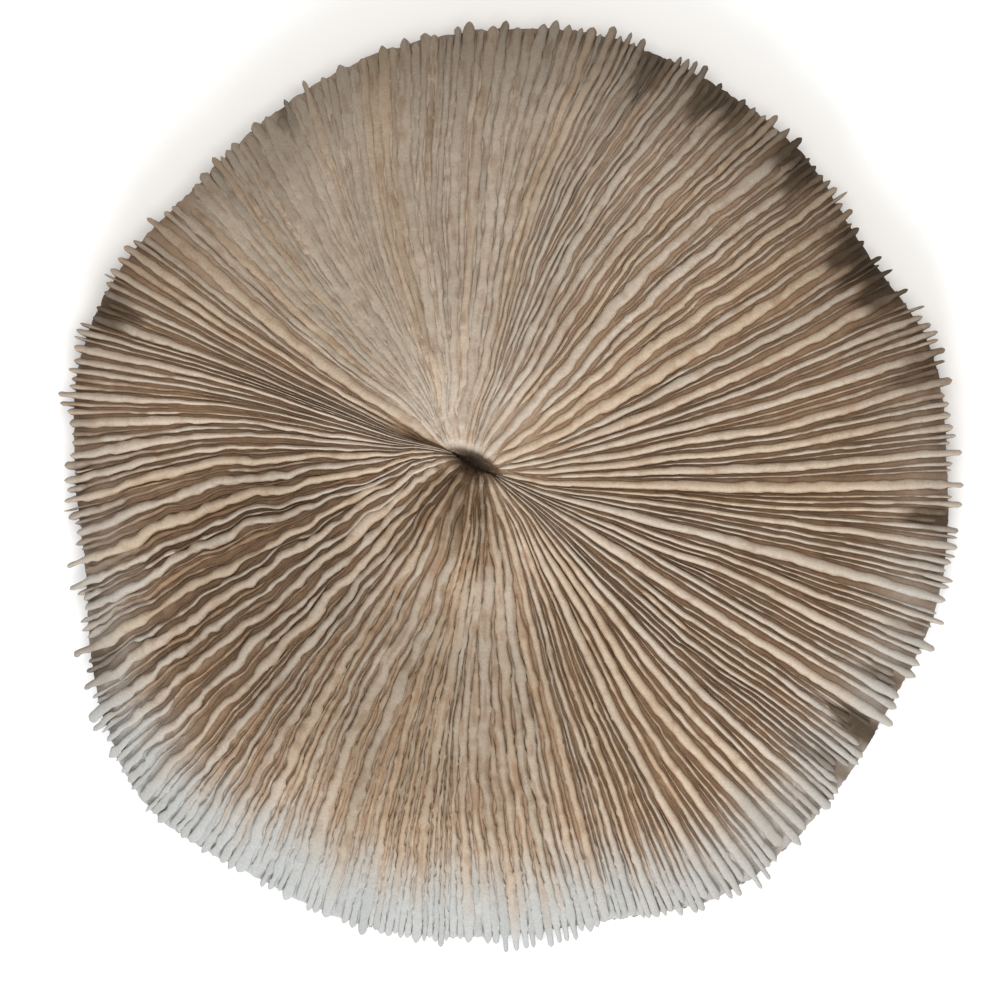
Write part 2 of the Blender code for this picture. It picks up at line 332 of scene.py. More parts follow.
# Camera and lights
FRAME_WIDTH = 160 * MM
FRAME_HEIGHT_Z = 8 * MM
VIEW_X = -1.8 * MM
VIEW_Y = -2.9 * MM
CAMERA_HEIGHT = 560 * MM
SENSOR = 36.0
CLIP_START = 0.01
FLOOR_SIZE = 4.0
Light = namedtuple("Light", "name location size power colour")
LIGHTS = (
    Light("overhead", (0.05, 0.05, 0.95), 0.6, 6.0, (1.0, 0.95, 0.88)),
    Light("window", (-0.10, -0.90, 0.45), 0.5, 11.0, (0.90, 0.95, 1.0)),
)


# Rules that the shape follows


def eased(value):
    """0 below 0, 1 above 1, and smooth between."""
    share = np.clip(value, 0.0, 1.0)
    return share * share * (3 - 2 * share)


def rising(value, start, run):
    """0 up to the start, then growing smoothly to 1 over the run."""
    return eased((value - start) / run)


def soft_spot(away, half_width):
    """1 in the middle of a place, fading to 0 at one and a half times its half width."""
    return eased(1.5 - away / half_width)


def ripple(chance, distance, wavelength):
    """Smooth random waves between -1 and 1 along a distance."""
    place = np.asarray(distance) / wavelength
    knots = chance.uniform(-1, 1, int(place.max()) + 3)
    index = np.floor(place).astype(int)
    share = eased(place - index)
    return knots[index] * (1 - share) + knots[index + 1] * share


def growth_at(bearing, column):
    """One column of GROWTH at bearings in radians, on a smooth closed curve through its entries."""
    place = np.mod(bearing, math.tau) / math.tau * len(GROWTH)
    index = np.floor(place).astype(int)
    share = place - index
    before, start, end, after = (GROWTH[(index + step) % len(GROWTH), column] for step in (-1, 0, 1, 2))
    slope_in = (end - before) / 2
    slope_out = (after - start) / 2
    square, cube = share**2, share**3
    risen = 3 * square - 2 * cube
    level = start * (1 - risen) + end * risen
    return level + slope_in * (cube - 2 * square + share) + slope_out * (cube - square)


def read_round(table, bearing, field):
    """One field of a table of SHAPES or WEARS_AND_SHADES at bearings in radians."""
    bearings = [entry.bearing for entry in table]
    values = [getattr(entry, field) for entry in table]
    return np.interp(np.degrees(bearing) % 360, bearings, values, period=360)


def shape_at(bearing, field):
    return read_round(SHAPES, bearing, field)


def shapes_at(bearing, fields):
    return (shape_at(bearing, field) for field in fields.split())


def bleach_and_cool_light_at(bearing, share):
    """How pale the coral is, which grows towards the rim: partly bleaching and partly painted cool window
    light.
    """
    return read_round(WEARS_AND_SHADES, bearing, "bleach") * rising(share, *BLEACH_AND_COOL_LIGHT_RISE)


def chips_at(bearing, field):
    """One field of CHIPS at bearings in radians, and 0 away from all chips."""
    total = np.zeros_like(bearing)
    for chip in CHIPS:
        away = np.abs((np.degrees(bearing) - chip.bearing + 180) % 360 - 180)
        total = total + getattr(chip, field) * soft_spot(away, chip.half_width)
    return total


def rim_radius(bearing):
    return growth_at(bearing, RADIUS) * MM


def on_septum(bearing, radius):
    """The point, seen from above, that the septum of a bearing passes at a radius."""
    rim = rim_radius(bearing)
    swing = growth_at(bearing, SWING) * eased((rim - radius) / (rim - SWING_RADIUS))
    past_mouth = np.maximum(0.0, radius - MOUTH_RADIUS)
    swing = swing + growth_at(bearing, MOUTH_SWING) * np.exp(-past_mouth / MOUTH_SWING_FADE)
    turned = bearing + np.radians(swing)
    along_slit = SLIT_SHIFT + SLIT_HALF_LENGTH * np.cos(bearing - SLIT_BEARING)
    along_slit = along_slit * eased(1 - radius / SLIT_REACH)
    return (
        MOUTH_X + radius * np.cos(turned) + along_slit * math.cos(SLIT_BEARING),
        MOUTH_Y + radius * np.sin(turned) + along_slit * math.sin(SLIT_BEARING),
    )


def furrow_at(bearing, share):
    """1 in the furrow that runs out of the mouth, 0 away from it."""
    away = np.abs((bearing - FURROW_BEARING + math.pi) % math.tau - math.pi)
    return soft_spot(away, FURROW_HALF_WIDTH) * eased(FURROW_FADE * (1 - share / FURROW_SHARE))


def silt_and_shade_at(bearing, share):
    """1 where silting and painted shade lie beside the mouth, 0 away from it."""
    side = eased(SILT_FOCUS * np.cos(bearing - SILT_BEARING) - SILT_EDGE)
    return side * eased(share / SILT_START) * eased(1 - share / SILT_SHARE)


def throat_share(bearing):
    """Share of the rim's radius where the throat ends. One side is wider, and it is uneven."""
    share = THROAT_SHARE + THROAT_WIDENING * eased(np.cos(bearing - THROAT_BEARING))
    return share * (1 + THROAT_WAVES * np.sin(3 * bearing + 1) + THROAT_WAVES * np.sin(7 * bearing))


def on_costa(bearing, radius):
    """The point that a costa passes at a radius: costae run straight to the scar."""
    return MOUTH_X + radius * np.cos(bearing), MOUTH_Y + radius * np.sin(bearing)


def dome_height(form, share):
    """Height of the first septa's upper edges, before the mouth's pit."""
    inside = np.clip(1 - np.clip(share, 0, 1) ** DOME_POWER, 0, 1)
    return form.rim_height + (form.crown_height - form.rim_height) * inside**SHOULDER_POWER


def pit_depth(form, x, y):
    """How far the mouth sinks the surface at points seen from above."""
    along = (x - MOUTH_X) * math.cos(SLIT_BEARING) + (y - MOUTH_Y) * math.sin(SLIT_BEARING) - SLIT_SHIFT
    across = (y - MOUTH_Y) * math.cos(SLIT_BEARING) - (x - MOUTH_X) * math.sin(SLIT_BEARING)
    reach = np.hypot(along / PIT_HALF_LENGTH, across / PIT_HALF_WIDTH)
    return form.pit_depth * (1 - eased(reach / PIT_REACH))


def gap_depth(form, radius, bearing):
    """Depth of the gaps between septa below their upper edges."""
    opened = eased(radius / GAP_FULL_RADIUS)
    full = GAP_DEPTH_AT_MOUTH + (form.gap_depth - GAP_DEPTH_AT_MOUTH) * opened
    share = radius / rim_radius(bearing)
    relief = shape_at(bearing, "relief")
    near_mouth = 1 - eased(radius / MOUTH_RELIEF_RADIUS)
    relief = relief + MOUTH_RELIEF * (1 - shape_at(bearing, "closed")) * near_mouth
    relief = relief + SILT_RELIEF * silt_and_shade_at(bearing, share)
    return full * relief * (1 - WORN_RELIEF * bleach_and_cool_light_at(bearing, share))


def underside_height(form, share):
    """Height of the costae's lower edges: a foot round a shallow hollow."""
    hollow = HOLLOW_HEIGHT * eased((FOOT_SHARE - share) / (FOOT_SHARE - HOLLOW_SHARE))
    past = np.clip((share - FOOT_END_SHARE) / (1 - FOOT_END_SHARE), 0, 1)
    return hollow + form.rim_height * past**RIM_POWER


# Where the blades stand


class Septum:
    """One blade. The layout gives it its bearing and the room on its two sides at each of SHARES."""

    def __init__(self, order, chance, broad=False):
        self.order = order
        self.start = chance.uniform(order.first_start, order.last_start)
        self.broad = broad or (order not in ORDERS[3:] and chance.random() < BROAD_BLADE_CHANCE)
        spread = chance.uniform(-BREADTH_SPREAD, BREADTH_SPREAD)
        self.breadth = order.breadth * (1 + spread) * (BROAD_BLADE if self.broad else 1.0)
        self.lowering = chance.uniform(*LOWERING)
        self.setback = chance.uniform(0, TIP_SPREAD) * MM
        self.pointed = chance.uniform(*POINTEDNESS)
        self.tone = chance.uniform(-1, 1)
        self.seed = int(chance.integers(1 << 30))

    def grown(self, share, run, lead=0):
        """0 before the blade's inner end, then growing to 1 over a run. The first order is 1 all along."""
        if self.order is ORDERS[0]:
            return np.ones_like(share)
        return eased((share - self.start) / run + lead)

    def presence(self, share):
        """How far it has risen out of the gap."""
        return self.grown(share, 0.04 + 0.12 * self.start)

    def claim(self, share):
        """How much room it takes beside the others: little at its inner end, all further out."""
        near_start = CLAIM_AT_START * self.grown(share, CLAIM_FADE, 1)
        return near_start + (1 - CLAIM_AT_START) * self.grown(share, 0.05 + 0.30 * self.start)

    def lowness(self, share, bearing):
        """1 where the blade stands the full drop below the first ones, 0 where it is as high."""
        risen = self.grown(share, self.order.rise_run)
        if self.order in ORDERS[3:]:
            risen = risen * shape_at(bearing, "rise")
        return 1 - risen


def fill_sector(crowd, chance):
    """The blades between two first septa, in the order that they stand."""
    row = [Septum(ORDERS[1], chance)]
    for order in ORDERS[2:4]:
        split = [Septum(order, chance)]
        for septum in row:
            split += [septum, Septum(order, chance)]
        row = split
    fifths = crowd - 1 - len(row)
    gaps = list(chance.permutation(len(row) + 1))
    chosen = (gaps + gaps)[:max(0, fifths)]
    filled = []
    for gap in range(len(row) + 1):
        filled += [Septum(ORDERS[4], chance) for _ in range(chosen.count(gap))]
        filled += row[gap:gap + 1]
    return filled


def lay_out_septa():
    """All blades. Between two first septa the room is shared out by breadth as later blades come in."""
    chance = np.random.default_rng(SEED)
    first = [Septum(ORDERS[0], chance, number in BROAD_FIRST_SEPTA) for number in range(FIRST_SEPTA)]
    jitter = chance.uniform(-BEARING_JITTER, BEARING_JITTER, FIRST_SEPTA)
    bearings = math.tau / FIRST_SEPTA * np.arange(FIRST_SEPTA) + jitter
    for septum, bearing in zip(first, bearings):
        septum.breadth *= shape_at(bearing, "favour")
        septum.start = throat_share(bearing) * chance.uniform(*FIRST_START)
    septa = list(first)
    for number, septum in enumerate(first):
        after = (number + 1) % FIRST_SEPTA
        following = first[after]
        start = bearings[number]
        width = (bearings[after] - start) % math.tau
        middle = start + width / 2
        crowd = round(float(shape_at(middle, "crowd")))
        between = fill_sector(crowd, chance)
        for later in between:
            if later.order not in ORDERS[3:]:
                later.breadth *= shape_at(middle, "favour")
        claims = [blade.breadth * blade.claim(SHARES) for blade in (septum, *between, following)]
        claims[0] /= 2
        claims[-1] /= 2
        rooms = [claim / sum(claims) * width for claim in claims]
        septum.bearing = np.full_like(SHARES, start)
        septum.room_left = rooms[0]
        following.room_right = rooms[-1]
        edge = rooms[0]
        for later, room in zip(between, rooms[1:-1]):
            later.bearing = start + edge + room / 2
            later.room_left = later.room_right = room / 2
            edge = edge + room
        septa += between
    place_tips(septa, chance)
    return septa


def place_tips(septa, chance):
    """How far each tip stays behind the rim: groups of tips end in lobes, and some are slim fingers."""
    notches = chance.uniform(0, 1, TIP_GROUPS + 1) ** 2
    notches[-1] = notches[0]
    slim_chances = SLIM_TIP_CHANCE * (chance.uniform(0, 1, TIP_GROUPS) < SLIM_GROUP_CHANCE)
    for septum in septa:
        tip = septum.bearing[-1] % math.tau
        group, place = divmod(tip / math.tau * TIP_GROUPS, 1)
        finger = shape_at(tip, "finger")
        slim = chance.random() < slim_chances[int(group)]
        septum.finger = 1.0 if slim else finger
        septum.setback = septum.setback * (0.7 + 0.3 * finger) + septum.order.setback * finger * MM
        septum.setback += BLUNT_SETBACK * (1 - septum.finger)
        notch = notches[int(group)] * (1 - place) ** 3 + notches[int(group) + 1] * place**3
        broken = chips_at(tip, "back") * chance.uniform(*BROKEN_BACK)
        septum.setback += (shape_at(tip, "notch") * notch + broken) * MM


SEPTA = lay_out_septa()


# Meshes made from a rolled grid


def select_only(*objects):
    """Selects these objects alone, with the first one active."""
    for old in list(bpy.context.selected_objects):
        old.select_set(False)
    for chosen in reversed(objects):
        chosen.select_set(True)
        bpy.context.view_layer.objects.active = chosen


def points_of(mesh):
    flat = np.empty(len(mesh.vertices) * 3)
    mesh.vertices.foreach_get("co", flat)
    return flat.reshape(-1, 3)


def rolled_grid(name, rings, points):
    """A grid rolled into a capped tube, with the ring and the point of each vertex."""
    select_only()
    bpy.ops.mesh.primitive_grid_add(x_subdivisions=rings - 1, y_subdivisions=points, size=1)
    tube = bpy.context.object
    tube.name = name
    flat = points_of(tube.data)
    angle = (flat[:, 1] + 0.5) * math.tau
    rolled = np.stack((np.rint((flat[:, 0] + 0.5) * (rings - 1)), np.cos(angle), np.sin(angle)), axis=1)
    tube.data.vertices.foreach_set("co", rolled.ravel())
    bpy.ops.object.mode_set(mode="EDIT")
    bpy.ops.mesh.select_all(action="SELECT")
    bpy.ops.mesh.remove_doubles(threshold=MERGE_DISTANCE)
    bpy.ops.mesh.fill_holes(sides=0)
    bpy.ops.object.mode_set(mode="OBJECT")
    rolled = points_of(tube.data)
    ring = np.rint(rolled[:, 0]).astype(int)
    point = np.rint(np.arctan2(rolled[:, 2], rolled[:, 1]) / math.tau * points).astype(int) % points
    return tube, ring, point


def shape_tube(tube, ring, point, surface, depth, wear, tone=0.0):
    """Moves a tube onto a surface given by ring and point, and stores what the material reads."""
    mesh = tube.data
    mesh.vertices.foreach_set("co", surface[ring, point].ravel())
    looks = (
        ("depth", "FLOAT", "value", depth[ring, point]),
        ("wear", "FLOAT_COLOR", "color", wear[ring, point]),
        ("tone", "FLOAT", "value", np.full(len(ring), tone)),
    )
    for key, kind, field, values in looks:
        mesh.attributes.new(key, kind, "POINT").data.foreach_set(field, values.ravel())
    mesh.update()


def ring_count(length, step, least):
    return max(least, RING_STEP * math.ceil(length / step / RING_STEP))


def finish_piece(piece):
    """Turns a piece's faces outwards, gives it its material, and says what it stands for."""
    select_only(piece)
    bpy.ops.object.mode_set(mode="EDIT")
    bpy.ops.mesh.select_all(action="SELECT")
    bpy.ops.mesh.normals_make_consistent(inside=False)
    bpy.ops.object.mode_set(mode="OBJECT")
    bpy.ops.object.shade_smooth_by_angle(angle=SMOOTH_ANGLE)
    piece.data.materials.append(coral_material(bpy.context.scene.coral_colours))
    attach(piece, BODY)
    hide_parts(NODE)


def join_tubes(name, skins):
    """One piece of closed tubes, from the surface, depth, weathering with painted shade, and tone of each. A
    tube of each length is rolled once and then copied."""
    stock = {}
    tubes = []
    for surface, depth, wear, tone in skins:
        rings, points = depth.shape
        if rings not in stock:
            stock[rings] = rolled_grid(name, rings, points)
        pattern, ring, point = stock[rings]
        tube = bpy.data.objects.new(name, pattern.data.copy())
        bpy.context.collection.objects.link(tube)
        shape_tube(tube, ring, point, surface, depth, wear, tone)
        tubes.append(tube)
    select_only(*tubes)
    bpy.ops.object.join()
    piece = bpy.context.object
    for pattern, _, _ in stock.values():
        mesh = pattern.data
        bpy.data.objects.remove(pattern)
        bpy.data.meshes.remove(mesh)
    piece.name = name
    piece.data.name = name
    finish_piece(piece)


# How weathered, browned and pale the coral is, and the shade and cool window light painted on it


def wear_and_shade_at(bearing, share):
    """Brown from staining and painted shade, tan, pale from bleaching and painted cool window light, and
    darkness that is partly painted shade, as four columns.
    """
    silt_and_shade = SILT_AND_SHADE_STRENGTH * silt_and_shade_at(bearing, share)
    furrow = furrow_at(bearing, share)
    bleach = bleach_and_cool_light_at(bearing, share)
    stain = read_round(WEARS_AND_SHADES, bearing, "stain") + SILT_STAIN_AND_SHADE * silt_and_shade + FURROW_STAIN_AND_SHADE * furrow
    stain = stain * (1 - 0.75 * bleach)
    tan = read_round(WEARS_AND_SHADES, bearing, "tan") * (0.35 + 0.65 * rising(share, *TAN_RISE))
    # The rim's dulling and the darker band half way out are partly painted shade
    dull = read_round(WEARS_AND_SHADES, bearing, "dull") * rising(share, *DULL_AND_SHADE_RISE)
    shade = read_round(WEARS_AND_SHADES, bearing, "shade") * rising(share, *SHADE_RISE)
    shade = shade * (1 - 0.45 * rising(share, *SHADE_WEAKENS)) * (1 - 0.8 * bleach)

    # The edge of a dark chip is ragged
    ragged = share + 0.014 * np.sin(95 * bearing) + 0.010 * np.sin(230 * bearing + 1)
    chipped = chips_at(bearing, "dark") * rising(ragged, *CHIP_RISE)
    # The silting side of the mouth and the furrow are darkened with painted shade
    clear = (1 - dull) * (1 - shade) * (1 - SILT_PAINTED_SHADE * silt_and_shade) * (1 - FURROW_PAINTED_SHADE * furrow)
    dark = 1 - clear * (1 - np.minimum(chipped, MOST_CHIP_DARKNESS))
    return np.stack((stain, tan + SILT_TAN * silt_and_shade, bleach * (1 - chipped), dark), axis=-1)


# The upper blades


def drift(bearing, radius):
    """How neighbouring blades stray together, between -1 and 1."""
    return sum(
        strength * np.sin(radius / length + turn * bearing + start)
        for strength, length, turn, start in DRIFTS
    )


def closed_at(bearing, radius):
    """How nearly a gap is closed, the same for the blades on both its sides."""
    waves = np.sin(150 * bearing + radius / (4.1 * MM)) * np.sin(radius / (2.3 * MM) - 40 * bearing)
    closed = shape_at(bearing, "closed")
    closed = closed * eased(0.2 + 0.9 * closed + 1.1 * waves)
    share = radius / rim_radius(bearing)
    dots = eased(1.4 * np.sin(radius / (0.34 * MM) + 23 * np.sin(60 * bearing)))
    closed = closed * (1 - DOTTED * dots * rising(share, *DOTS_RISE) * shape_at(bearing, "bridge"))
    closed = closed * (1 - SILT_OPENING * silt_and_shade_at(bearing, share))
    return 1 - (1 - closed) * (1 - WORN_CLOSED * bleach_and_cool_light_at(bearing, share))


def blade_shares(septum, rings):
    """Shares of the rim's radius at a blade's rings, which stand closer in its round tip."""
    rim = rim_radius(septum.bearing[-1])
    body = np.linspace(septum.start, 1 - TIP_LENGTH / rim, rings - len(TIP_RINGS))
    return np.concatenate((body, 1 - TIP_RINGS / rim))


def septum_surface(form, septum, rings):
    """Points, depth, and weathering with painted shade of a blade's skin, by ring and by point of its
    section.
    """
    chance = np.random.default_rng(septum.seed)
    share = blade_shares(septum, rings)
    bearing = np.interp(share, SHARES, septum.bearing)
    rim = rim_radius(bearing)
    radius = share * (rim - septum.setback)
    run = radius - radius[0]
    left_to_tip = radius[-1] - radius
    favour, closed, bridge, wave = shapes_at(bearing, "favour closed bridge wave")
    drop, sink, gap = shapes_at(bearing, "drop sink gap")

    # The path, which strays a little to its sides
    stray = wave * MM * (drift(bearing, radius) + 0.7 * ripple(chance, run, STRAY_WAVE))
    stray = stray * eased(share / 0.25) * (1 - 0.5 * rising(share, 0.9, 0.1))
    path_bearing = bearing + stray / np.maximum(radius, 2 * MM)
    x, y = on_septum(path_bearing, radius)
    left = np.stack((-np.gradient(y), np.gradient(x)), axis=1)
    left /= np.maximum(np.linalg.norm(left, axis=1, keepdims=True), 1e-12)
    x_beside, y_beside = on_septum(path_bearing + NUDGE, radius)
    spread = np.abs((x_beside - x) * left[:, 0] + (y_beside - y) * left[:, 1]) / NUDGE

    # Breadth on each side, with a blunt or a slim round tip
    sunk = eased((ripple(chance, run, SINK_WAVE) + 0.1) / 0.35)
    sunk = sunk * eased(run / (5.0 * MM)) * septum.order.sunk
    finger = septum.finger
    tipward = eased((TIP_RUN - left_to_tip) / (0.5 * TIP_RUN))
    gap = gap * MM * (0.45 + 0.55 * eased(share / 0.8)) + SILT_GAP * silt_and_shade_at(bearing, share)
    gap = gap * (1 - 0.8 * (1 - finger) * tipward)
    rounding = left_to_tip / (TIP_BLUNT + TIP_POINTED * septum.pointed * (1 - 0.7 * finger))
    rounding = np.clip(rounding, 0.01, 1) ** 0.5
    most = MOST_HALF_BREADTH * (BROAD_BLADE if septum.broad else 1.0) * (0.8 + 0.2 * eased(share / 0.35))
    most = most * np.sqrt(favour) * (1 + 1.2 * np.maximum(0, closed - 0.4))
    raggedness = 0.07 + 0.8 * wave
    swell = 1 + 0.16 * ripple(chance, run, SWELL_WAVE)
    beyond_wall = eased((radius - rim + form.wall_setback) / WALL_BLEND)
    slimmest = TIP_HALF_BREADTH * (0.5 + 0.5 * favour) * chance.uniform(*TIP_BREADTH_SPREAD)
    halves = []
    seams = []
    for side, room in ((-1, septum.room_right), (1, septum.room_left)):
        room = np.interp(share, SHARES, room)
        seam = closed_at(bearing + side * room, radius)
        half = room * spread
        half = np.minimum(np.maximum(half - gap / 2 * (1 - seam), half * 0.5), most) * swell
        half = half * (1 - 0.35 * sunk * np.minimum(1, sink))
        half = half + (np.minimum(half, slimmest) - half) * tipward * finger
        ragged = 1.1 * ripple(chance, run, RAGGED_WAVES[0]) + ripple(chance, run, RAGGED_WAVES[1])
        half = half * (1 + raggedness * ragged)
        halves.append(np.maximum(half * eased(run / INNER_TAPER + 0.4), LEAST_HALF_BREADTH) * rounding)
        seams.append(seam)

    # Height of the upper edge, with its teeth, and of the lower edge
    pit = pit_depth(form, x, y)
    place = radius / rim
    envelope = dome_height(form, place) - pit
    depth = gap_depth(form, radius, bearing)
    presence = septum.presence(share)
    lowness = septum.lowness(share, bearing)
    sunk = sunk * sink * MM * (1 - 0.7 * beyond_wall)
    sunk = sunk + chips_at(bearing, "lower") * MM * rising(share, *CHIP_RISE) * chance.uniform(0.3, 1.3)
    sunk = sunk + FURROW_DEPTH * furrow_at(bearing, share) + drop * MM * lowness * septum.lowering
    teeth = form.tooth_height * (0.45 + 0.8 * lowness) * (
        0.6 * ripple(chance, run, TOOTH_WAVES[0]) + 0.4 * ripple(chance, run, TOOTH_WAVES[1])
    )
    low = np.minimum(sunk, 0.7 * depth) * presence + (1 - presence) * (depth + 0.1 * MM)
    top = envelope - low + teeth * (1 - 0.6 * beyond_wall)
    root = np.minimum(envelope - depth - ROOT_DEPTH, top - 0.8 * MM)
    keel = np.minimum(underside_height(form, place), top - 1.2 * MM * rounding)
    bottom = root * (1 - beyond_wall) + keel * beyond_wall
    height = top - np.minimum(bottom, top - 0.1 * MM)

    # The section, with small bridges to the next blade
    below = np.minimum(BELOW, height[:, None] * BELOW_MOST)
    below[:, 1:-1] *= 1 - 0.8 * np.minimum(*seams)[:, None]
    across = ACROSS * (1 - beyond_wall[:, None]) + TIP_ACROSS * beyond_wall[:, None]
    offset = across * np.where(across < 0, halves[0][:, None], halves[1][:, None])
    for index in BRIDGE_POINTS:
        bump = eased((ripple(chance, run, BRIDGE_WAVE) - (1 - 1.2 * bridge)) / 0.25)
        offset[:, index] += np.sign(ACROSS[index]) * bump * 0.6 * gap * (1 - beyond_wall)
    surface = np.stack((
        x[:, None] + left[:, None, 0] * offset,
        y[:, None] + left[:, None, 1] * offset,
        top[:, None] - below,
    ), axis=-1)

    # Staining and painted shade, which grow with depth below the upper edge and in the pit, and the rest of
    # the weathering
    shadowed = 0.7 * low + PIT_PAINTED_SHADE * np.maximum(0, pit - PIT_UNSHADED_DEPTH)
    stain_and_shade_depth = shadowed[:, None] + below * (1 - 0.6 * beyond_wall[:, None])
    blotch = (0.12 + 1.6 * closed) * MM
    for index in range(2, len(ACROSS) - 2):
        stain_and_shade_depth[:, index] += blotch * np.maximum(0, ripple(chance, run, BLOTCH_WAVE))
    worn_and_shaded = wear_and_shade_at(bearing, share + chance.uniform(-0.04, 0.04))
    streak = read_round(WEARS_AND_SHADES, bearing, "streak") * (0.5 + 0.5 * ripple(chance, run, STREAK_WAVE))
    worn_and_shaded[:, 3] = 1 - (1 - worn_and_shaded[:, 3]) * (1 - streak)
    return surface, stain_and_shade_depth / MM, np.repeat(worn_and_shaded[:, None, :], len(ACROSS), axis=1)


def make_septa(form, order):
    skins = []
    for septum in SEPTA:
        if septum.order is order:
            length = (1 - septum.start) * rim_radius(septum.bearing[-1])
            rings = ring_count(length, form.blade_step, LEAST_BLADE_RINGS)
            skins.append((*septum_surface(form, septum, rings), septum.tone))
    join_tubes(order.name, skins)


# The ribs of the underside


def costa_surface(form, septum, rings):
    """Points, depth, and weathering with painted shade of a rib's skin, by ring and by point of its section.
    """
    chance = np.random.default_rng(septum.seed + 1)
    bearing = np.full(rings, septum.bearing[-1])
    rim = rim_radius(bearing)
    inner = max(form.scar_radius + 0.5 * MM, septum.start * rim[0])
    radius = np.linspace(inner, rim[0] - form.wall_setback + 0.2 * MM, rings)
    share = radius / rim
    run = radius - radius[0]
    x, y = on_costa(bearing + 0.12 * MM * ripple(chance, run, 4.0 * MM) / radius, radius)
    room = (septum.room_left[-1] + septum.room_right[-1]) / 2 * radius
    grown = eased((radius - inner) / COSTA_START_RUN + 0.15)
    half = np.clip(room * 0.55, *COSTA_HALF_BREADTHS) * (0.5 + 0.5 * grown)
    half = half * (1 + 0.2 * ripple(chance, run, 1.3 * MM))
    spine = 0.5 + 0.5 * ripple(chance, run, 0.9 * MM)
    underside = underside_height(form, share)
    crest = np.maximum(underside + form.costa_height * (0.28 * spine + 0.9 * (1 - grown)), 0.0)
    root = underside + form.costa_height + ROOT_DEPTH
    offset = COSTA_ACROSS * half[:, None]
    surface = np.stack((
        x[:, None] - np.sin(bearing)[:, None] * offset,
        y[:, None] + np.cos(bearing)[:, None] * offset,
        root[:, None] + (crest - root)[:, None] * COSTA_DOWN,
    ), axis=-1)
    # Staining and painted shade: the ribs are painted darker higher up, towards the plate
    stain_and_shade_depth = (surface[:, :, 2] - underside[:, None]) * 0.9
    wear = np.repeat(wear_and_shade_at(bearing, share * 0.9)[:, None, :], len(COSTA_ACROSS), axis=1)
    return surface, stain_and_shade_depth / MM, wear


def make_costae(form):
    skins = []
    for septum in SEPTA:
        rim = rim_radius(septum.bearing[-1])
        length = rim - form.wall_setback - max(form.scar_radius, septum.start * rim)
        if length >= SHORTEST_COSTA:
            rings = ring_count(length, form.costa_step, LEAST_COSTA_RINGS)
            skins.append((*costa_surface(form, septum, rings), 0.0))
    join_tubes("costae", skins)


# The plate between and below the blades


def plate_surface(form, columns):
    """Points, depth, and weathering with painted shade of the plate's skin, from the mouth over the wall and
    under to the scar.
    """
    chance = np.random.default_rng(SEED + 1)
    bearing = np.arange(columns) / columns * math.tau
    rim = rim_radius(bearing)
    wall = rim - form.wall_setback
    rows = []

    def lumps(size):
        return size * chance.uniform(-1, 1, columns)

    def add_row(x, y, z, depth, share):
        points = np.stack(np.broadcast_arrays(x, y, z), axis=1)
        rows.append((points, np.broadcast_to(depth, bearing.shape), wear_and_shade_at(bearing, share)))

    throat = throat_share(bearing)
    # Painted shade: the throat's floor is painted dark by a set amount
    throat_stain_and_shade = wear_and_shade_at(bearing, SILT_SHARE)[:, 0]
    for sunk in THROAT_ROWS:
        x, y = on_septum(bearing, throat * wall * (1 - sunk) ** 0.4)
        floor = dome_height(form, 0.0) - pit_depth(form, x, y) - sunk * THROAT_DEPTH + lumps(THROAT_LUMPS)
        add_row(x, y, floor, THROAT_PAINTED_SHADE / throat_stain_and_shade, SILT_SHARE)
    for step in np.linspace(0.0, 1.0, FLOOR_ROWS) ** 1.5:
        share = throat + (1 - throat) * step
        radius = share * wall - RIM_RAGGEDNESS * chance.uniform(0, 1, columns) * rising(share, 0.97, 0.03)
        x, y = on_septum(bearing, radius)
        pit = pit_depth(form, x, y)
        envelope = dome_height(form, share * wall / rim) - pit
        floor = envelope - gap_depth(form, radius, bearing)
        floor = floor + lumps(FLOOR_LUMPS) * shape_at(bearing, "relief")
        floor = floor - FLOOR_DROP * rising(share, 0.93, 0.07)
        # The floor is painted darker the deeper it lies and in the pit: staining and painted shade
        stain_and_shade_depth = envelope - floor + PIT_PAINTED_SHADE * np.maximum(0, pit - PIT_UNSHADED_DEPTH)
        add_row(x, y, floor, stain_and_shade_depth / MM, share)
    for drop in WALL_ROWS:
        x, y = on_costa(bearing, wall + lumps(WALL_LUMPS))
        add_row(x, y, WALL_TOP_Z + (WALL_FOOT_Z - WALL_TOP_Z) * drop, WALL_STAIN_AND_SHADE, 1.0)
    for share in np.linspace(1.0, 0.0, UNDER_ROWS)[:-1]:
        radius = form.scar_radius + share * (wall - form.scar_radius)
        x, y = on_costa(bearing, radius)
        height = underside_height(form, radius / rim)
        skin = height + form.costa_height * eased((radius - form.scar_radius) / (3 * MM))
        skin = skin + lumps(UNDER_LUMPS) * eased(share * 8)
        skin = skin + (WALL_FOOT_Z - skin) * rising(share, 0.94, 0.06)
        add_row(x, y, np.maximum(skin, 0.0), UNDER_STAIN_AND_SHADE, share * 0.85)
    for share in SCAR_ROWS:
        x, y = on_costa(bearing, share * form.scar_radius)
        add_row(x, y, 0.0, SCAR_STAIN_AND_SHADE, 0.1)
    return (np.array(part) for part in zip(*rows))


def make_plate(form):
    surface, depth, wear = plate_surface(form, form.plate_columns)
    plate, ring, point = rolled_grid("plate", len(surface), form.plate_columns)
    shape_tube(plate, ring, point, surface, depth, wear)
    finish_piece(plate)


# Material


def feed(tree, socket, value):
    """Links a socket to another one, or sets it to a number or a colour."""
    if isinstance(value, bpy.types.NodeSocket):
        tree.links.new(value, socket)
    elif isinstance(value, (int, float)):
        socket.default_value = value
    else:
        socket.default_value = (*value, 1.0)


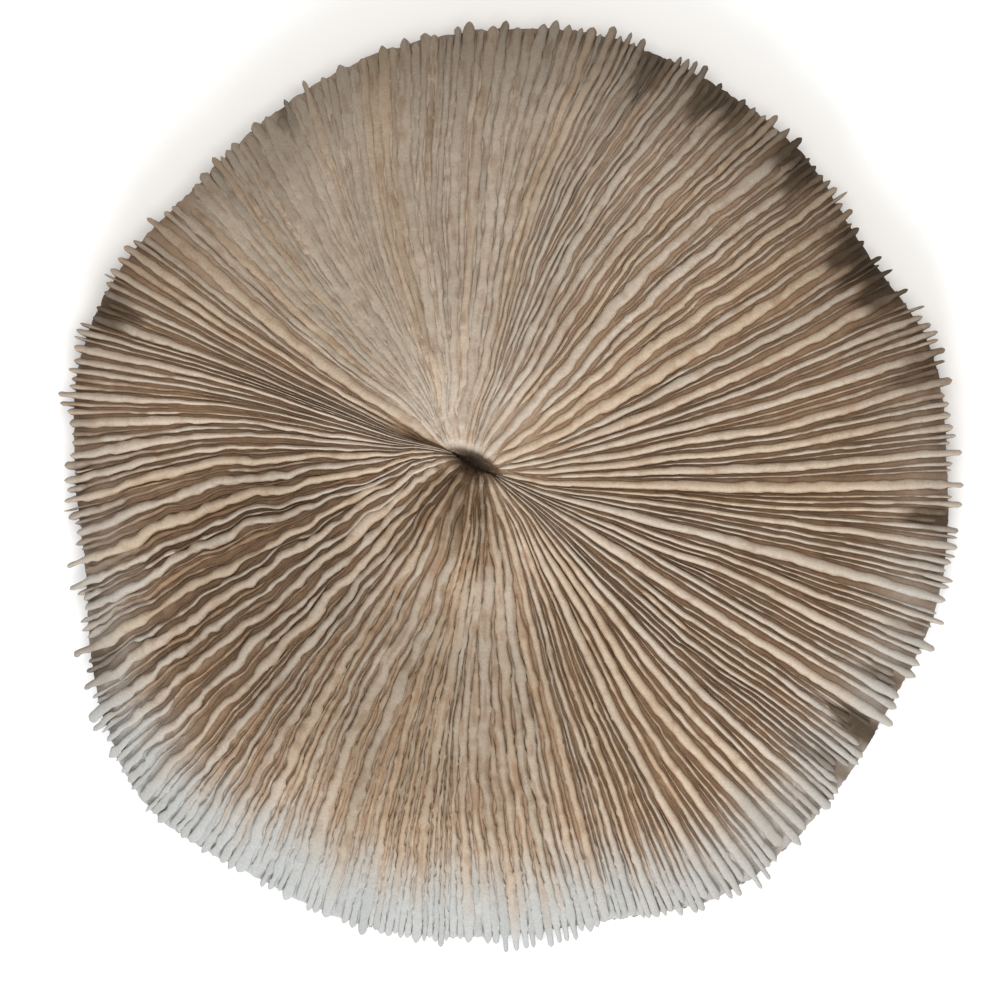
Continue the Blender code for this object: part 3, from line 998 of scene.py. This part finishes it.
def add_node(tree, kind, sockets=None, **settings):
    """A shader node with its settings, and with some of its sockets fed."""
    node = tree.nodes.new("ShaderNode" + kind)
    for key, value in settings.items():
        setattr(node, key, value)
    for key, value in (sockets or {}).items():
        feed(tree, node.inputs[key], value)
    return node


def math_node(tree, operation, *values, clamp=False):
    sockets = dict(enumerate(values))
    return add_node(tree, "Math", sockets, operation=operation, use_clamp=clamp).outputs[0]


def noise_node(tree, coordinates, scale, detail=3.0):
    sockets = {"Vector": coordinates, "Scale": scale, "Detail": detail, "Roughness": 0.55}
    return add_node(tree, "TexNoise", sockets).outputs["Fac"]


def mix_node(tree, blend_type, factor, under, over):
    sockets = {0: factor, 6: under, 7: over}
    return add_node(tree, "Mix", sockets, data_type="RGBA", blend_type=blend_type).outputs[2]


def new_material(name, roughness, specular):
    """A material and its shader."""
    material = bpy.data.materials.new(name)
    material.use_nodes = True
    surface = material.node_tree.nodes["Principled BSDF"]
    surface.inputs["Roughness"].default_value = roughness
    surface.inputs["Specular IOR Level"].default_value = specular
    return material, surface


def coral_material(colours):
    """Dry coral: cream edges, brown from staining and painted shade in the gaps and the pit, tan parts, a
    pale rim from bleaching and painted cool window light, darkness that is partly painted shade, and a fine
    grain.
    """
    name = "coral_skeleton"
    if name in bpy.data.materials:
        return bpy.data.materials[name]
    material, surface = new_material(name, colours.roughness, 0.25)
    tree = material.node_tree

    coordinates = add_node(tree, "TexCoord").outputs["Object"]
    depth = add_node(tree, "Attribute", attribute_name="depth").outputs["Fac"]
    wear = add_node(tree, "Attribute", attribute_name="wear")
    parts = add_node(tree, "SeparateColor", {"Color": wear.outputs["Color"]})
    stain, tan, bleach = (parts.outputs[index] for index in range(3))
    darkness = wear.outputs["Alpha"]

    mottle = noise_node(tree, coordinates, 420.0)
    patches = noise_node(tree, coordinates, 90.0)
    grain = noise_node(tree, coordinates, 2600.0, 2.0)

    # Depth below the blades' edges, made uneven, picks the colour from cream to dark brown: brown staining,
    # and painted shade in the gaps, on lower blades and in the pit
    uneven = math_node(tree, "MULTIPLY_ADD", mottle, 1.8, -0.9)
    deep = math_node(tree, "ADD", depth, uneven)
    deep = math_node(tree, "MULTIPLY", deep, 0.25)
    deep = math_node(tree, "MULTIPLY", deep, stain, clamp=True)
    ramp = add_node(tree, "ValToRGB", {"Fac": deep})
    elements = ramp.color_ramp.elements
    stops = (
        (0.00, colours.cream),
        (0.03, colours.cream),
        (0.12, colours.mauve),
        (0.28, colours.brown),
        (0.64, colours.umber),
        (1.00, colours.dark),
    )
    for place, _ in stops[1:-1]:
        elements.new(place)
    for element, (_, colour) in zip(elements, stops):
        element.color = (*colour, 1.0)
    colour = ramp.outputs["Color"]

    # Some blades are warmer and some greyer than the rest, and patches and tan parts lie over all of them
    tone = add_node(tree, "Attribute", attribute_name="tone").outputs["Fac"]
    patchy = math_node(tree, "MULTIPLY_ADD", patches, 2.4, -0.75, clamp=True)
    tints = (
        (math_node(tree, "MULTIPLY", tone, 1.0, clamp=True), colours.warm),
        (math_node(tree, "MULTIPLY", tone, -1.0, clamp=True), colours.grey),
        (math_node(tree, "MULTIPLY", patchy, 0.55), colours.patch),
        (math_node(tree, "MULTIPLY", tan, 0.8), colours.tan),
    )
    for factor, tint in tints:
        colour = mix_node(tree, "MULTIPLY", factor, colour, tint)

    # The pale rim, from bleaching and painted cool window light; the darkness, partly painted shade; and the
    # grain
    shallowness = math_node(tree, "MULTIPLY_ADD", deep, -0.5, 0.90)
    colour = mix_node(tree, "MIX", math_node(tree, "MULTIPLY", bleach, shallowness), colour, colours.bleached_and_cool_lit)
    colour = mix_node(tree, "MULTIPLY", darkness, colour, colours.dull)
    grey = math_node(tree, "MULTIPLY_ADD", grain, 0.5, 0.75)
    shade = add_node(tree, "CombineColor", {"Red": grey, "Green": grey, "Blue": grey})
    colour = mix_node(tree, "MULTIPLY", 1.0, colour, shade.outputs["Color"])
    bump = add_node(tree, "Bump", {"Strength": 0.35, "Distance": 0.15 * MM, "Height": grain})
    feed(tree, surface.inputs["Base Color"], colour)
    feed(tree, surface.inputs["Normal"], bump.outputs["Normal"])
    return material


# Stage


def add_floor(stage):
    select_only()
    bpy.ops.mesh.primitive_plane_add(size=FLOOR_SIZE, location=(0, 0, CAD_LOW.z))
    floor = bpy.context.object
    floor.name = "studio_floor"
    bpy.ops.object.transform_apply(location=True, rotation=True, scale=True)
    material, surface = new_material(floor.name, 0.9, 0.1)
    feed(material.node_tree, surface.inputs["Base Color"], stage.floor_colour)
    floor.data.materials.append(material)


def add_light(entry):
    """A square soft light that faces the coral."""
    select_only()
    bpy.ops.object.light_add(type="AREA", location=entry.location)
    light = bpy.context.object
    light.name = entry.name
    light.data.size = entry.size
    light.data.energy = entry.power
    light.data.color = entry.colour
    light.rotation_mode = "QUATERNION"
    light.rotation_quaternion = light.location.to_track_quat("Z", "Y")


def add_camera():
    select_only()
    bpy.ops.object.camera_add(location=(VIEW_X, VIEW_Y, CAMERA_HEIGHT))
    camera = bpy.context.object
    camera.name = "camera"
    camera.data.sensor_width = SENSOR
    camera.data.lens = SENSOR * (CAMERA_HEIGHT - FRAME_HEIGHT_Z) / FRAME_WIDTH
    camera.data.clip_start = CLIP_START
    bpy.context.scene.camera = camera


def add_world(stage):
    world = bpy.data.worlds.new("studio")
    world.use_nodes = True
    background = world.node_tree.nodes["Background"]
    background.inputs["Color"].default_value = (*stage.sky_colour, 1.0)
    background.inputs["Strength"].default_value = stage.sky_strength
    bpy.context.scene.world = world


# What a user can change


def length_property(name, description, default):
    return bpy.props.FloatProperty(name=name, description=description, default=default, unit="LENGTH")


def colour_property(name, description, default):
    return bpy.props.FloatVectorProperty(
        name=name, description=description, default=default, size=3, min=0, max=1, subtype="COLOR",
    )


class CoralForm(bpy.types.PropertyGroup):
    crown_height: length_property("Crown height", "Height of the highest blades", 30.0 * MM)
    rim_height: length_property("Rim height", "Height of the blades' tips", 6.0 * MM)
    pit_depth: length_property("Pit depth", "Depth of the mouth", 10.0 * MM)
    gap_depth: length_property("Gap depth", "Depth between two blades", 4.6 * MM)
    tooth_height: length_property("Tooth height", "Height of the teeth on a blade", 0.32 * MM)
    blade_step: length_property("Blade step", "Length of a face along a blade", 0.48 * MM)
    wall_setback: length_property("Wall setback", "How far tips stand out of the wall", 3.1 * MM)
    costa_height: length_property("Costa height", "Height of the ribs underneath", 1.1 * MM)
    costa_step: length_property("Costa step", "Length of a face along a rib", 0.9 * MM)
    scar_radius: length_property("Scar radius", "Radius of the flat scar underneath", 10.0 * MM)
    plate_columns: bpy.props.IntProperty(
        name="Plate columns", description="Faces round the plate", default=480, min=96,
    )


class CoralColours(bpy.types.PropertyGroup):
    cream: colour_property("Cream", "Upper edges of the blades", (0.46, 0.388, 0.318))
    # The ramp from cream through mauve, brown and umber to dark goes by depth below the edges: brown
    # staining, and painted shade of the gaps, the lower blades and the pit
    mauve: colour_property("Mauve", "Sides and lower blades", (0.38, 0.290, 0.218))
    brown: colour_property("Brown", "Silt in the gaps", (0.345, 0.234, 0.153))
    umber: colour_property("Umber", "Silt in the deeper gaps", (0.215, 0.138, 0.086))
    dark: colour_property("Dark", "Bottom of the gaps", (0.055, 0.03, 0.018))
    warm: colour_property("Warm", "Tint of the warmest blades", (1.0, 0.94, 0.85))
    grey: colour_property("Grey", "Tint of the greyest blades", (0.94, 0.97, 0.98))
    patch: colour_property("Patch", "Tint of the uneven patches", (0.80, 0.74, 0.68))
    tan: colour_property("Tan", "Tint of the tan parts", (0.94, 0.76, 0.55))
    # Colour of the pale rim: bleaching, and painted cool window light
    bleached_and_cool_lit: colour_property("Bleached", "Bleached tips", (0.325, 0.335, 0.33))
    # Tint of the darkness: dulling at the rim, and painted shade
    dull: colour_property("Dull", "Tint of the dull rim", (0.13, 0.12, 0.095))
    roughness: bpy.props.FloatProperty(
        name="Roughness", description="Roughness of the coral", default=0.9, min=0, max=1, subtype="FACTOR",
    )


class CoralStage(bpy.types.PropertyGroup):
    floor_colour: colour_property("Floor", "Colour of the floor", (0.88, 0.88, 0.88))
    sky_colour: colour_property("Sky", "Colour of the soft light all round", (0.96, 0.98, 1.0))
    sky_strength: bpy.props.FloatProperty(
        name="Sky strength", description="Strength of the soft light all round", default=0.55, min=0,
    )


GROUPS = {"coral_form": CoralForm, "coral_colours": CoralColours, "coral_stage": CoralStage}


class CORAL_OT_plate(bpy.types.Operator):
    """Makes the plate that the blades grow from, with its wall and its scar"""

    bl_idname = "coral.plate"
    bl_label = "Plate"

    def execute(self, context):
        make_plate(context.scene.coral_form)
        return {"FINISHED"}


class CORAL_OT_septa(bpy.types.Operator):
    """Makes all the upper blades of one order"""

    bl_idname = "coral.septa"
    bl_label = "Septa"

    order: bpy.props.IntProperty(
        name="Order", description="Order of the blades, from 0 up", default=0, min=0, max=4,
    )

    def execute(self, context):
        make_septa(context.scene.coral_form, ORDERS[self.order])
        return {"FINISHED"}


class CORAL_OT_costae(bpy.types.Operator):
    """Makes the ribs of the underside"""

    bl_idname = "coral.costae"
    bl_label = "Costae"

    def execute(self, context):
        make_costae(context.scene.coral_form)
        return {"FINISHED"}


class CORAL_OT_stage(bpy.types.Operator):
    """Makes the floor, the lights and the camera"""

    bl_idname = "coral.stage"
    bl_label = "Stage"

    def execute(self, context):
        stage = context.scene.coral_stage
        add_floor(stage)
        add_world(stage)
        for entry in LIGHTS:
            add_light(entry)
        add_camera()
        context.scene.view_settings.view_transform = "Standard"
        return {"FINISHED"}


class CORAL_PT_panel(bpy.types.Panel):
    bl_idname = "CORAL_PT_panel"
    bl_label = "Mushroom Coral"
    bl_space_type = "VIEW_3D"
    bl_region_type = "UI"
    bl_category = "Coral"

    def draw(self, context):
        layout = self.layout
        for group in (getattr(context.scene, key) for key in GROUPS):
            for key in group.bl_rna.properties.keys():
                if key not in ("rna_type", "name"):
                    layout.prop(group, key)
        layout.operator("coral.plate")
        for order, entry in enumerate(ORDERS):
            layout.operator("coral.septa", text=entry.name).order = order
        layout.operator("coral.costae")
        layout.operator("coral.stage")


CLASSES = (
    *GROUPS.values(),
    CORAL_OT_plate,
    CORAL_OT_septa,
    CORAL_OT_costae,
    CORAL_OT_stage,
    CORAL_PT_panel,
)


def register():
    for cls in CLASSES:
        bpy.utils.register_class(cls)
    for key, group in GROUPS.items():
        setattr(bpy.types.Scene, key, bpy.props.PointerProperty(type=group))


def unregister():
    for key in GROUPS:
        delattr(bpy.types.Scene, key)
    for cls in reversed(CLASSES):
        bpy.utils.unregister_class(cls)


def main():
    register()
    bpy.ops.coral.plate()
    for order in range(len(ORDERS)):
        bpy.ops.coral.septa(order=order)
    bpy.ops.coral.costae()
    bpy.ops.coral.stage()


if __name__ == "__main__":
    main()
